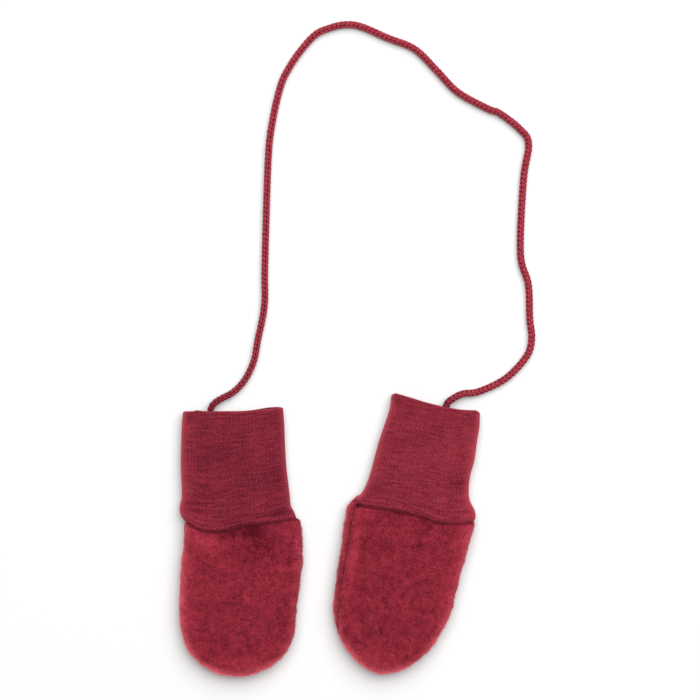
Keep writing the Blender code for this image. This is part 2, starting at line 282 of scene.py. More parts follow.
course_shape = bmesh.new()
for column in range(CORD_COLUMNS):
    for lean in (-1.0, 1.0):
        around = 2.0 * math.pi * column / CORD_COLUMNS + lean * LEG_SPREAD
        seat = Matrix.Rotation(around, 4, "X") @ Matrix.Translation((0.0, 0.0, LEG_SEAT))
        slant = Matrix.Rotation(lean * LEG_SLANT, 4, "Z")
        late = Matrix.Translation((CORD_COURSE * column / CORD_COLUMNS, 0.0, 0.0))
        size = Matrix.Diagonal((*LEG_HALF_SIZES, 1.0)) @ Matrix.Rotation(0.5 * math.pi, 4, "Y")
        bmesh.ops.create_uvsphere(
            course_shape, u_segments=8, v_segments=6, radius=1.0, matrix=late @ seat @ slant @ size
        )
course_mesh = bpy.data.meshes.new("cord_course")
course_shape.to_mesh(course_mesh)
course_shape.free()

cord_shape = bmesh.new()
cord_painted_shade = cord_shape.verts.layers.float.new("cord_painted_shade")
bmesh.ops.create_cone(
    cord_shape,
    cap_ends=True,
    segments=CORE_SIDES,
    radius1=CORD_CORE_RADIUS,
    radius2=CORD_CORE_RADIUS,
    depth=cord_length,
    matrix=Matrix.Translation((0.5 * cord_length, 0.0, 0.0)) @ Matrix.Rotation(0.5 * math.pi, 4, "Y"),
)
core_lines = [edge for edge in cord_shape.edges if edge.calc_length() > 0.5 * cord_length]
bmesh.ops.subdivide_edges(cord_shape, edges=core_lines, cuts=int(cord_length / CORE_STEP))
for course in range(int(cord_length / CORD_COURSE) - 1):
    known = len(cord_shape.verts)
    cord_shape.from_mesh(course_mesh)
    cord_shape.verts.ensure_lookup_table()
    place = Matrix.Translation(((course + 0.5) * CORD_COURSE, 0.0, 0.0))
    turned = place @ Matrix.Rotation(course * CORD_TURN, 4, "X")
    bmesh.ops.transform(cord_shape, matrix=turned, verts=cord_shape.verts[known:])
# Painted shade: each point is darker the deeper it lies in the stitches' hollows (the core is
# darkest), and near the mouths where the cord runs into the cuffs.
for vert in cord_shape.verts:
    from_middle = math.hypot(vert.co.y, vert.co.z)
    depth = min(1.0, max(0.0, (0.5 * CORD_DIAMETER - from_middle) / GROOVE_DEPTH))
    vert[cord_painted_shade] = 1.0 - (1.0 - depth) * (1.0 - read(CORD_TONES, 1, vert.co.x / MM))
    vert.co = on_cord(vert.co)
bpy.data.meshes.remove(course_mesh)

cord_finish = bpy.data.materials.new("cord_wool")
cord_finish.use_nodes = True
tree = cord_finish.node_tree
shader = tree.nodes["Principled BSDF"]
place = add_node(tree, "ShaderNodeTexCoord").outputs["Object"]
yarn_tone = add_node(
    tree, "ShaderNodeTexNoise", {}, {"Vector": place, "Scale": 620.0, "Detail": 3.0, "Roughness": 0.6}
)
yarn_colour = add_node(tree, "ShaderNodeValToRGB", {}, {"Fac": yarn_tone.outputs["Fac"]})
yarn_colour.color_ramp.elements[0].position = 0.3
yarn_colour.color_ramp.elements[0].color = linear(144, 42, 56)
yarn_colour.color_ramp.elements[1].position = 0.7
yarn_colour.color_ramp.elements[1].color = linear(194, 70, 86)
# Painted shade: the yarn is mixed towards a dark red in the hollows and near the mouths.
inside = add_node(tree, "ShaderNodeAttribute", {"attribute_name": "cord_painted_shade"})
shaded_yarn = add_node(
    tree,
    "ShaderNodeMix",
    {"data_type": "RGBA"},
    {
        "Factor": inside.outputs["Fac"],
        "A": yarn_colour.outputs["Color"],
        "B": linear(70, 14, 26),
    },
)
yarn_hair = add_node(
    tree, "ShaderNodeTexNoise", {}, {"Vector": place, "Scale": 5200.0, "Detail": 3.0}
)
yarn_bump = add_node(
    tree,
    "ShaderNodeBump",
    {},
    {"Strength": 0.5, "Distance": 0.1 * MM, "Height": yarn_hair.outputs["Fac"]},
)
tree.links.new(shaded_yarn.outputs["Result"], shader.inputs["Base Color"])
tree.links.new(yarn_bump.outputs["Normal"], shader.inputs["Normal"])
shader.inputs["Roughness"].default_value = 0.85
shader.inputs["Specular IOR Level"].default_value = 0.25
shader.inputs["Sheen Weight"].default_value = 0.2
shader.inputs["Sheen Roughness"].default_value = 0.4
shader.inputs["Sheen Tint"].default_value = linear(255, 130, 140)

cord = finished_piece("knitted_cord", cord_shape, cord_finish)
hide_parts("cord")

# The cuffs: tubes of fine wool rib knit, folded double at the mouth, which is a soft round edge.
# The doubled end is sewn to the body, and its last courses puff over the seam.
LEFT_AXES = Matrix.Translation((-50.3 * MM, 8.4 * MM, 0.0))
RIGHT_AXES = Matrix.Translation((48.0 * MM, 12.9 * MM, 0.0)) @ Matrix.Rotation(
    math.radians(-11.0), 4, "Z"
)
CUFF_WALL = 2.0
WALES = 98
POINTS_TO_A_WALE = 4
OUTER_ROWS = 112
FOLD_ROWS = 6
INNER_ROWS = 12
RIB_HEIGHT = 0.14
COURSES = 68
SEAM_ALLOWANCE = 0.15
PUFF_REACH = 0.9
PUFF_SIDE_SHARE = 0.4
PUFF_START = 0.93
PUFF_RISE = 1.0
PUFF_ROLL = 0.86
PUFF_TUCK = 1.1
RIPPLE = 0.35
RIPPLE_SCALE = 0.11
RIM_FLAT = 0.99
RIM_SHADED_GAIN = 2.6
RIM_LIT_LOSS = 0.55
CUFF_RIM_STRENGTH = 0.85
CUFF_RIM_POWER = 1.05
FOLD_SHADE = 0.13
HEM_SHADE = 0.03
HEM_SHADE_WIDTH = 0.7
KNIT_SKEW = 0.1
LEFT_CUFF_TONES = (
    # across, down, turn, half length, half width, in mm and degrees in the mitten's own axes, and
    # tone: where the knit is lighter or darker, partly in its own tone and partly as painted light
    # along its side edges and painted shade at the seam
    (-31.5, -30.0, 90.0, 44.0, 6.0, 0.09),
    (24.0, -32.0, 90.0, 44.0, 9.0, -0.01),
    (-22.0, -2.0, 0.0, 9.0, 6.0, 0.03),
    (6.0, 2.4, -8.0, 9.0, 0.9, -0.16),
    (-20.0, 4.6, 0.0, 12.0, 1.2, 0.05),
)
RIGHT_CUFF_TONES = (
    # across, down, turn, half length, half width, tone: lighter overall, with painted light along the
    # side edges
    (0.0, -34.0, 0.0, 90.0, 34.0, 0.06),
    (0.0, -1.0, 3.0, 40.0, 5.0, 0.02),
    (28.5, -36.0, 90.0, 38.0, 4.5, 0.17),
    (-27.0, -34.0, 90.0, 26.0, 5.0, 0.04),
)
LEFT_SEAM = (
    # across, down, in mm: the line where the cuff is sewn to the body
    (-34.0, -0.6),
    (-29.8, 0.7),
    (-24.2, 4.3),
    (-18.0, 6.1),
    (-9.0, 5.9),
    (0.0, 3.9),
    (10.0, 2.4),
    (22.4, 0.0),
    (29.0, -0.8),
    (35.0, -1.0),
)
RIGHT_SEAM = (
    # across, down
    (-38.0, 0.4),
    (-34.4, -0.2),
    (-31.4, 1.8),
    (-24.0, 1.7),
    (-10.0, 1.2),
    (3.5, 1.8),
    (14.0, 2.8),
    (22.0, 2.0),
    (34.0, -1.4),
)
LEFT_MOUTH = (
    # across, down of the upper layer, down of the lower layer
    (-33.0, -60.8, -60.8),
    (-27.0, -60.9, -60.9),
    (-23.5, -61.5, -61.3),
    (-19.0, -60.9, -60.9),
    (0.0, -60.8, -61.0),
    (8.0, -61.0, -61.7),
    (16.0, -62.1, -63.0),
    (25.0, -63.0, -63.4),
)
RIGHT_MOUTH = (
    # across, down of the upper layer, down of the lower layer
    (-26.0, -61.9, -61.9),
    (-24.3, -63.1, -63.1),
    (-20.5, -62.9, -62.9),
    (-14.0, -62.3, -62.3),
    (-7.0, -61.5, -61.5),
    (0.0, -61.1, -61.1),
    (8.0, -60.9, -60.9),
    (15.0, -61.2, -61.2),
    (20.5, -62.0, -62.0),
    (23.4, -62.3, -62.3),
    (25.2, -61.4, -61.4),
)
LEFT_CUFF = (
    # place from mouth to seam, left edge, right edge, side radius, crown
    (0.0, -31.9, 24.0, 4.6, 0.4),
    (0.12, -32.5, 24.6, 4.6, 0.5),
    (0.36, -33.0, 25.2, 4.6, 0.6),
    (0.55, -33.0, 26.0, 4.6, 0.7),
    (0.77, -32.5, 27.6, 4.6, 0.8),
    (0.88, -33.6, 28.3, 4.7, 1.1),
    (0.94, -33.4, 30.1, 4.9, 1.4),
    (1.0, -31.0, 31.7, 4.6, 1.2),
)
RIGHT_CUFF = (
    # place, left edge, right edge, side radius, crown
    (0.0, -25.6, 24.9, 4.6, 0.4),
    (0.12, -25.1, 26.0, 4.6, 0.5),
    (0.25, -26.2, 26.2, 4.6, 0.6),
    (0.42, -27.6, 26.8, 4.6, 0.7),
    (0.56, -28.2, 26.1, 4.6, 0.7),
    (0.7, -28.8, 26.8, 4.6, 0.8),
    (0.8, -29.7, 28.6, 4.6, 1.0),
    (0.89, -31.3, 32.0, 4.8, 1.2),
    (0.95, -33.6, 33.3, 4.9, 1.3),
    (1.0, -35.6, 33.0, 4.6, 1.2),
)
LEFT_CUFF_FOLDS = (
    # across, down, turn, half length, half width, depth; a ridge has a depth below zero
    (22.0, -3.7, -8.0, 10.0, 1.1, 1.1),
    (20.0, -0.9, -8.0, 12.0, 1.5, -0.5),
    (21.0, -8.4, -4.0, 9.0, 0.9, 0.3),
    (-26.5, -9.3, 3.0, 7.0, 0.9, 0.45),
    (-26.0, -5.2, 5.0, 8.0, 1.0, 0.5),
    (-20.0, -13.8, 2.0, 8.0, 1.2, 0.3),
    (2.0, -1.0, -8.0, 14.0, 1.6, 0.35),
    (-10.0, -36.0, 12.0, 20.0, 7.0, 0.35),
    (12.0, -20.0, -20.0, 12.0, 6.0, 0.3),
)
RIGHT_CUFF_FOLDS = (
    # across, down, turn, half length, half width, depth
    (20.0, -20.0, -12.0, 8.0, 4.0, 0.5),
    (26.0, -9.0, 62.0, 7.0, 2.0, 0.3),
    (-25.0, -7.0, -38.0, 8.0, 2.2, 0.3),
    (-12.0, -3.5, 3.0, 12.0, 1.4, 0.3),
    (14.0, -2.2, 3.0, 12.0, 1.2, 0.4),
    (-6.0, -40.0, -15.0, 16.0, 7.0, 0.3),
)


def fold_depth(folds, across, down):
    """How much the folds of a table lower the cloth at a point."""
    depth = 0.0
    for middle, level, turn, half_length, half_width, deepest in folds:
        angle = math.radians(turn)
        step_across = across - middle
        step_down = down - level
        along = step_across * math.cos(angle) + step_down * math.sin(angle)
        aside = step_down * math.cos(angle) - step_across * math.sin(angle)
        depth += deepest * math.exp(-(along / half_length) ** 2 - (aside / half_width) ** 2)
    return depth


def cuff_section(sections, place, around):
    """A point of the flat tube's outside and its outward direction, a share of the way round."""
    left, right, radius, crown = (read(sections, column, place) for column in (1, 2, 3, 4))
    flat = right - left - 2.0 * radius
    quarter = 0.5 * math.pi * radius
    walked = around * (2.0 * flat + 4.0 * quarter)
    if walked < quarter:
        angle = math.pi - walked / radius
        middle = left + radius
    elif walked < quarter + flat:
        share = (walked - quarter) / flat
        height = 2.0 * radius + crown * math.sin(math.pi * share)
        return Vector((left + radius + share * flat, height)), Vector((0.0, 1.0))
    elif walked < 3.0 * quarter + flat:
        angle = 0.5 * math.pi - (walked - quarter - flat) / radius
        middle = right - radius
    elif walked < 3.0 * quarter + 2.0 * flat:
        share = (walked - 3.0 * quarter - flat) / flat
        return Vector((right - radius - share * flat, 0.0)), Vector((0.0, -1.0))
    else:
        angle = -0.5 * math.pi - (walked - 3.0 * quarter - 2.0 * flat) / radius
        middle = left + radius
    away = Vector((math.cos(angle), math.sin(angle)))
    return Vector((middle, radius)) + away * radius, away


def cuff_point(sections, mouth, seam, folds, around, row):
    """A point of the cuff's wall, in mm in the mitten's axes, with its normal and its course."""
    half = 0.5 * CUFF_WALL
    place = max(0.0, 1.0 - row / OUTER_ROWS, (row - OUTER_ROWS - FOLD_ROWS) / INNER_ROWS)
    folded = min(1.0, max(0.0, (row - OUTER_ROWS) / FOLD_ROWS))
    out = math.cos(math.pi * folded)
    toward_mouth = math.sin(math.pi * folded)
    depth = half * (1.0 - out)
    from_mouth = half * (1.0 - toward_mouth)
    rib = RIB_HEIGHT * math.cos(2.0 * math.pi * WALES * around) * max(0.0, out)
    point, away = cuff_section(sections, place, around)
    normal = Vector((away.x * out, toward_mouth, away.y * out))
    upper = min(1.0, max(0.0, point.y / (2.0 * sections[0][3])))
    mouth_low = read(mouth, 2, point.x)
    start = mouth_low + (read(mouth, 1, point.x) - mouth_low) * upper + from_mouth
    down = start + (read(seam, 1, point.x) - SEAM_ALLOWANCE - start) * place
    top = max(0.0, away.y)
    if depth < half:
        puff = max(0.0, (place - PUFF_START) / (1.0 - PUFF_START))
        down += PUFF_REACH * (PUFF_SIDE_SHARE + (1.0 - PUFF_SIDE_SHARE) * top) * puff
        swell = PUFF_RISE * math.sin(math.pi * min(1.0, PUFF_ROLL * puff))
        depth -= top * (swell - PUFF_TUCK * puff ** 4)
    point -= away * (depth - rib)
    height = point.y
    if top > 0.5:
        height -= fold_depth(folds, point.x, down)
    ripple = RIPPLE * noise.noise(Vector((point.x, down, height)) * RIPPLE_SCALE) * top
    spot = Vector((point.x, -down, max(height + ripple, PAPER_GAP / MM)))
    return spot, normal, place * COURSES


def painted_rim_light_share(normal, strength, power):
    """How much painted rim light pales a cloth's edge, as if light caught its loose fibres, most where
    it faces the shade.
    """
    turned_away = -normal.x * LIGHT_FROM[0] - normal.y * LIGHT_FROM[1]
    side = max(0.0, RIM_FLAT - abs(normal.z))
    return strength * side ** power * (1.0 + max(-RIM_LIT_LOSS, RIM_SHADED_GAIN * turned_away))


def knit_cuff(name, axes, sections, mouth, seam, folds, tones, material):
    """One cuff as a grid that is wrapped into a tube and folded over at its mouth."""
    round_count = WALES * POINTS_TO_A_WALE
    row_count = OUTER_ROWS + FOLD_ROWS + INNER_ROWS
    shape = bmesh.new()
    uv = shape.loops.layers.uv.new("knit")
    painted_rim_light = shape.verts.layers.float.new("painted_rim_light")
    shade = shape.verts.layers.float.new("shade")
    bmesh.ops.create_grid(
        shape, x_segments=round_count, y_segments=row_count, size=0.5, calc_uvs=True
    )
    courses = {}
    for vert in shape.verts:
        around = (vert.co.x + 0.5) % 1.0
        row = round((vert.co.y + 0.5) * row_count)
        spot, normal, course = cuff_point(sections, mouth, seam, folds, around, row)
        courses[vert.index] = course + KNIT_SKEW * spot.x * math.sin(math.pi * course / COURSES)
        # Painted rim light: the knit's outer edges are paled as if light caught their fibres; the
        # inner wall gets none.
        pale = painted_rim_light_share(axes.to_3x3() @ normal, CUFF_RIM_STRENGTH, CUFF_RIM_POWER)
        vert[painted_rim_light] = pale * (row < OUTER_ROWS + FOLD_ROWS)
        vert[shade] = fold_depth(tones, spot.x, -spot.y)
        # Painted shade in the folds' troughs and painted light on their ridges, then painted shade
        # along the hem's seam.
        vert[shade] -= FOLD_SHADE * fold_depth(folds, spot.x, -spot.y)
        from_seam = read(seam, 1, spot.x) + spot.y
        vert[shade] -= HEM_SHADE * math.exp(-(from_seam / HEM_SHADE_WIDTH) ** 2)
        vert.co = axes @ (spot * MM)
    for face in shape.faces:
        for loop in face.loops:
            loop[uv].uv = (loop[uv].uv.x * WALES, courses[loop.vert.index])
    bmesh.ops.remove_doubles(shape, verts=shape.verts, dist=0.005 * MM)
    ends = [edge for edge in shape.edges if edge.is_boundary]
    bmesh.ops.bridge_loops(shape, edges=ends)
    bmesh.ops.recalc_face_normals(shape, faces=shape.faces)
    return finished_piece(name, shape, material)


knit_finish = bpy.data.materials.new("rib_knit_wool")
knit_finish.use_nodes = True
tree = knit_finish.node_tree
shader = tree.nodes["Principled BSDF"]
knit_place = add_node(tree, "ShaderNodeUVMap", {"uv_map": "knit"}).outputs["UV"]


def knit_noise(wale_scale, course_scale, detail):
    """Noise that is stretched along the courses or the wales of the knit."""
    stretched = add_node(
        tree, "ShaderNodeMapping", {}, {"Vector": knit_place, "Scale": (wale_scale, course_scale, 1.0)}
    )
    return add_node(
        tree,
        "ShaderNodeTexNoise",
        {"noise_dimensions": "2D"},
        {"Vector": stretched.outputs["Vector"], "Scale": 1.0, "Detail": detail, "Roughness": 0.65},
    ).outputs["Fac"]


def maths(operation, first, second=0.0, third=0.0):
    """One arithmetic node."""
    node = tree.nodes.new("ShaderNodeMath")
    node.operation = operation
    for socket, value in zip(node.inputs, (first, second, third)):
        if isinstance(value, bpy.types.NodeSocket):
            tree.links.new(value, socket)
        else:
            socket.default_value = value
    return node.outputs[0]


split = add_node(tree, "ShaderNodeSeparateXYZ", {}, {"Vector": knit_place})
wale = split.outputs["X"]
course = split.outputs["Y"]
streaks = knit_noise(0.13, 0.8, 3.0)
stitches = knit_noise(1.1, 1.5, 2.0)
wale_lines = knit_noise(1.0, 0.05, 2.0)
clouds = knit_noise(0.07, 0.06, 2.0)
shade = add_node(tree, "ShaderNodeAttribute", {"attribute_name": "shade"}).outputs["Fac"]
painted_rim_light = add_node(tree, "ShaderNodeAttribute", {"attribute_name": "painted_rim_light"}).outputs["Fac"]
rib = maths("COSINE", maths("MULTIPLY", wale, 2.0 * math.pi))
lean = maths("PINGPONG", wale, 0.5)
slanted_course = maths("ADD", course, maths("MULTIPLY", lean, 0.9))
chevron = maths("SINE", maths("MULTIPLY", slanted_course, 2.0 * math.pi))
tone = maths("MULTIPLY_ADD", streaks, 0.37, maths("MULTIPLY", stitches, 0.48))
tone = maths("MULTIPLY_ADD", wale_lines, 0.08, tone)
tone = maths("MULTIPLY_ADD", clouds, 0.07, tone)
# Painted shade: the knit is darker in the grooves between its ribs and in the dips of its stitches.
tone = maths("MULTIPLY_ADD", rib, 0.035, tone)
tone = maths("MULTIPLY_ADD", chevron, 0.014, tone)
# The shade attribute adds the tables' tones, with their painted shade and painted light, to the knit's
# colour.
tone = maths("ADD", tone, shade)
knit_colour = add_node(tree, "ShaderNodeValToRGB", {}, {"Fac": tone})
ramp = knit_colour.color_ramp
ramp.elements[0].position = 0.34
ramp.elements[0].color = linear(84, 16, 33)
ramp.elements[1].position = 0.68
ramp.elements[1].color = linear(156, 53, 66)
middle = ramp.elements.new(0.5)
middle.color = linear(116, 32, 47)
# Painted rim light: the knit is mixed towards a pale red at its edges.
knit_with_painted_rim_light = add_node(
    tree,
    "ShaderNodeMix",
    {"data_type": "RGBA", "clamp_factor": False},
    {"Factor": painted_rim_light, "A": knit_colour.outputs["Color"], "B": linear(200, 82, 98)},
)
relief = maths("ADD", maths("MULTIPLY", rib, 0.5), maths("MULTIPLY", chevron, 0.3))
knit_bump = add_node(
    tree, "ShaderNodeBump", {}, {"Strength": 0.45, "Distance": 0.12 * MM, "Height": relief}
)
tree.links.new(knit_with_painted_rim_light.outputs["Result"], shader.inputs["Base Color"])
tree.links.new(knit_bump.outputs["Normal"], shader.inputs["Normal"])
shader.inputs["Roughness"].default_value = 0.9
shader.inputs["Specular IOR Level"].default_value = 0.2
shader.inputs["Sheen Weight"].default_value = 0.45
shader.inputs["Sheen Roughness"].default_value = 0.35
shader.inputs["Sheen Tint"].default_value = linear(255, 120, 135)

left_cuff = knit_cuff(
    "left_knit_cuff",
    LEFT_AXES,
    LEFT_CUFF,
    LEFT_MOUTH,
    LEFT_SEAM,
    LEFT_CUFF_FOLDS,
    LEFT_CUFF_TONES,
    knit_finish,
)
right_cuff = knit_cuff(
    "right_knit_cuff",
    RIGHT_AXES,
    RIGHT_CUFF,
    RIGHT_MOUTH,
    RIGHT_SEAM,
    RIGHT_CUFF_FOLDS,
    RIGHT_CUFF_TONES,
    knit_finish,
)
for cuff, node in ((left_cuff, "left_cuff"), (right_cuff, "right_cuff")):
    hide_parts(node)

# The bodies: two panels each of thick wool fleece, brushed and felted, seamed together all round.
# Each panel is its solid made smooth, with a lumpy skin and a nap of short matted hairs.
CREASE_ANGLE = math.radians(50.0)
RIM_CREASE = 0.55
SMOOTH_LEVELS = 2
SKIN_RISE = 0.2
SEAM_PINCH = 0.7
SEAM_PINCH_WIDTH = 1.1
CUFF_SEAM_DIP = 1.2
CUFF_SEAM_DIP_WIDTH = 1.6
LUMPS = (
    # size and height of the skin's lumps, in mm
    (14.0, 0.35),
    (4.5, 0.24),
    (1.6, 0.13),
)
EDGE_LUMPS = 1.7
CUT_EDGE_LUMPS = 0.3
UNDERSIDE = -0.5
UNDERSIDE_LIFT = 0.35 * MM
SKIN_GAP = 0.05 * MM
HAIR_LENGTH = 1.15 * MM
HAIR_RADIUS = 0.11 * MM
HAIR_TIP = 0.25
HAIR_SIDES = 3
HAIR_BEND = 0.35
HAIR_ROOT = 0.06 * MM
HAIR_LIFT = 0.34
HAIR_SIZES = (0.55, 1.3)
EDGE_HAIRS = 0.6
SEAM_HAIRS = 2.0
SEAM_HAIRS_WIDTH = 1.0
UNDERSIDE_HAIRS = 0.06
BARE_AT_SEAM = 0.02
SKIN_STRAND = 0.3
FLEECE_RIM_STRENGTH = 1.3
FLEECE_RIM_POWER = 0.85
SEAM_PAINTED_LIGHT = 0.04
SEAM_PAINTED_LIGHT_WIDTH = 1.6
SEAM_RIM_LOSS = 2.0
SEAM_RIM_WIDTH = 1.6
CUFF_SEAM_SHADE = 0.06
CUFF_SEAM_SHADE_WIDTH = 1.0
LEFT_FLEECE_SHADE_AND_TONE = (
    # across, down, turn, half length, half width, and tone: painted shade under the cuff's seam and in
    # the hollows, painted light along the edges, and lighter and darker patches elsewhere
    (6.0, 6.8, -8.0, 10.0, 3.2, -0.15),
    (8.4, 13.0, 90.0, 9.0, 7.0, -0.05),
    (-20.5, 12.0, 20.0, 10.0, 4.5, 0.11),
    (3.0, 12.0, 0.0, 26.0, 7.0, -0.03),
    (-30.5, 44.0, 90.0, 34.0, 7.0, 0.08),
    (0.0, 82.0, 0.0, 22.0, 4.5, 0.08),
    (6.0, 4.4, -8.0, 9.0, 1.0, -0.06),
    (-8.0, 8.0, -4.0, 5.0, 1.6, -0.08),
)
RIGHT_FLEECE_SHADE_AND_TONE = (
    # across, down, turn, half length, half width, tone: painted shade in the seam's groove, the corner
    # pit and under the cuff, painted light along the edges and beside the groove, and lighter patches
    # elsewhere
    (-29.8, 31.5, 87.0, 28.0, 2.8, 0.12),
    (-3.0, 6.5, 0.0, 28.0, 5.5, -0.04),
    (27.5, 46.0, 90.0, 34.0, 4.5, 0.09),
    (-4.0, 87.0, 0.0, 20.0, 4.5, 0.1),
    (-32.4, 2.5, 0.0, 1.3, 1.1, -0.3),
    (-36.4, 38.0, 86.0, 28.0, 1.7, -0.11),
    (-33.6, 54.0, 86.0, 14.0, 1.4, -0.07),
    (28.0, 6.0, 0.0, 7.0, 5.0, 0.08),
    (-26.0, 4.5, 0.0, 5.0, 3.0, 0.08),
)
LEFT_FLEECE_FOLDS = (
    # across, down, turn, half length, half width, depth
    (21.5, 33.5, 55.0, 5.0, 0.9, 0.5),
    (24.0, 30.0, 20.0, 4.0, 0.9, 0.4),
    (-18.0, 16.0, 70.0, 7.0, 2.5, -0.4),
    (8.0, 11.0, -5.0, 14.0, 3.5, 0.5),
)
RIGHT_FLEECE_FOLDS = (
    # across, down, turn, half length, half width, depth
    (-32.4, 2.4, 0.0, 1.0, 0.9, 1.8),
    (8.0, 8.0, 8.0, 14.0, 3.5, 0.4),
    (-14.0, 22.0, 40.0, 10.0, 4.0, 0.3),
    (12.0, 45.0, 100.0, 16.0, 5.0, -0.3),
)


def largest_region(shape, crease):
    """The faces of the largest stretch of a shape that no crease crosses: a panel's outer skin."""
    left = set(shape.faces)
    largest = []
    while left:
        region = [left.pop()]
        for face in region:
            for edge in face.edges:
                if edge[crease] == 0.0:
                    fresh = [other for other in edge.link_faces if other in left]
                    left.difference_update(fresh)
                    region.extend(fresh)
        if sum(face.calc_area() for face in region) > sum(face.calc_area() for face in largest):
            largest = region
    return largest


def smooth_panel(node):
    """A merged, smoothly subdivided copy of a panel's solid."""
    shape = bmesh.new()
    shape.from_mesh(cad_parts[node].data)
    bmesh.ops.remove_doubles(shape, verts=shape.verts, dist=0.01 * MM)
    bmesh.ops.join_triangles(
        shape,
        faces=shape.faces,
        angle_face_threshold=math.radians(40.0),
        angle_shape_threshold=math.radians(60.0),
    )
    crease = shape.edges.layers.float.new("crease_edge")
    for edge in shape.edges:
        if edge.calc_face_angle(0.0) > CREASE_ANGLE:
            edge[crease] = RIM_CREASE
    outer = shape.faces.layers.int.new("outer")
    for face in largest_region(shape, crease):
        face[outer] = 1
    mesh = bpy.data.meshes.new(node + "_rough")
    shape.to_mesh(mesh)
    shape.free()
    rough = bpy.data.objects.new(node + "_rough", mesh)
    bpy.context.scene.collection.objects.link(rough)
    smoother = rough.modifiers.new("smooth", "SUBSURF")
    smoother.levels = SMOOTH_LEVELS
    smoother.render_levels = SMOOTH_LEVELS
    evaluated = rough.evaluated_get(bpy.context.evaluated_depsgraph_get())
    smooth = bmesh.new()
    smooth.from_mesh(evaluated.to_mesh())
    evaluated.to_mesh_clear()
    bpy.data.objects.remove(rough)
    bpy.data.meshes.remove(mesh)
    return smooth


def fleece_panel(name, node, axes, seam, folds, shade_and_tone, upper, material):
    """One panel's skin, with its nap's growth, painted rim light, strand tone and shade (tone with
    painted shade and light) as attributes.
    """
    shape = smooth_panel(node)
    back = axes.inverted()
    outer = shape.faces.layers.int["outer"]
    if upper:
        skin_edges = {edge for face in shape.faces if face[outer] for edge in face.edges}
        bmesh.ops.subdivide_edges(shape, edges=list(skin_edges), cuts=1, use_grid_fill=True)
    shape.normal_update()
    growth = shape.verts.layers.float.new("nap")
    painted_rim_light = shape.verts.layers.float.new("painted_rim_light")
    strand = shape.verts.layers.float.new("strand")
    shade = shape.verts.layers.float.new("shade")
    seam_spots = []
    for vert in shape.verts:
        if len({face[outer] for face in vert.link_faces}) == 2:
            facing = sum((face.normal.z for face in vert.link_faces if face[outer]), 0.0)
            count = sum(face[outer] for face in vert.link_faces)
            seam_spots.append((vert.co.copy(), max(0.0, facing / count)))
    near_seam = kdtree.KDTree(len(seam_spots))
    for index, (spot, facing) in enumerate(seam_spots):
        near_seam.insert(spot, index)
    near_seam.balance()
    moved = []
    for vert in shape.verts:
        spot = back @ vert.co / MM
        down = -spot.y
        outside = any(face[outer] for face in vert.link_faces)
        _, index, from_seam = near_seam.find(vert.co)
        from_seam /= MM
        facing = seam_spots[index][1]
        past_seam = down - read(seam, 1, spot.x)
        top = max(0.0, vert.normal.z)
        rise = 0.0
        for size, height in LUMPS:
            rise += height * noise.noise(vert.co / (size * MM))
        rise *= 1.0 + EDGE_LUMPS * (1.0 - top)
        if outside:
            rise += SKIN_RISE - SEAM_PINCH * math.exp(-(from_seam / SEAM_PINCH_WIDTH) ** 2)
        else:
            rise *= CUT_EDGE_LUMPS
        co = vert.co + vert.normal * rise * MM
        if outside:
            dip = CUFF_SEAM_DIP * math.exp(-(past_seam / CUFF_SEAM_DIP_WIDTH) ** 2) * upper
            co.z -= (dip + fold_depth(folds, spot.x, down)) * top * MM
        if outside and vert.normal.z < UNDERSIDE:
            co.z += UNDERSIDE_LIFT
        co.z = max(co.z, SKIN_GAP)
        moved.append(co)
        vert[growth] = (1.0 + EDGE_HAIRS * (1.0 - top)) * (outside and from_seam > BARE_AT_SEAM)
        vert[growth] *= 1.0 + SEAM_HAIRS * facing * math.exp(-(from_seam / SEAM_HAIRS_WIDTH) ** 2)
        if vert.normal.z < UNDERSIDE:
            vert[growth] *= UNDERSIDE_HAIRS
        # Painted rim light on the fleece's edges, taken away near the seams.
        loss = min(1.0, SEAM_RIM_LOSS * facing) * math.exp(-(from_seam / SEAM_RIM_WIDTH) ** 2)
        loss = max(loss, math.exp(-(past_seam / SEAM_RIM_WIDTH) ** 2) * upper)
        pale = painted_rim_light_share(vert.normal, FLEECE_RIM_STRENGTH, FLEECE_RIM_POWER)
        vert[painted_rim_light] = pale * (1.0 - loss) * outside
        vert[strand] = SKIN_STRAND
        # Painted shade and painted light from the tables, with lighter and darker patches elsewhere.
        vert[shade] = fold_depth(shade_and_tone, spot.x, down)
        # Painted light: the lower panel is lightened where it turns up into the seam's groove.
        if outside and not upper:
            vert[shade] += SEAM_PAINTED_LIGHT * facing * math.exp(-(from_seam / SEAM_PAINTED_LIGHT_WIDTH) ** 2)
        # Painted shade on the upper panel along the seam under the cuff's hem.
        vert[shade] -= CUFF_SEAM_SHADE * math.exp(-(past_seam / CUFF_SEAM_SHADE_WIDTH) ** 2) * upper
    for vert, co in zip(shape.verts, moved):
        vert.co = co
    return finished_piece(name, shape, material)


def matted_hair():
    """One short hair, bent and tapered, that grows from the origin along +Z."""
    shape = bmesh.new()
    bmesh.ops.create_cone(
        shape,
        cap_ends=False,
        segments=HAIR_SIDES,
        radius1=HAIR_RADIUS,
        radius2=HAIR_TIP * HAIR_RADIUS,
        depth=HAIR_LENGTH,
        matrix=Matrix.Translation((0.0, 0.0, 0.5 * HAIR_LENGTH)),
    )
    sides = [edge for edge in shape.edges if edge.calc_length() > 0.5 * HAIR_LENGTH]
    bmesh.ops.subdivide_edges(shape, edges=sides, cuts=1)
    for vert in shape.verts:
        share = vert.co.z / HAIR_LENGTH
        vert.co.x += HAIR_BEND * HAIR_LENGTH * share * share
        vert.co.z -= HAIR_ROOT
    mesh = bpy.data.meshes.new("matted_hair")
    shape.to_mesh(mesh)
    shape.free()
    hair = bpy.data.objects.new("matted_hair", mesh)
    return hair


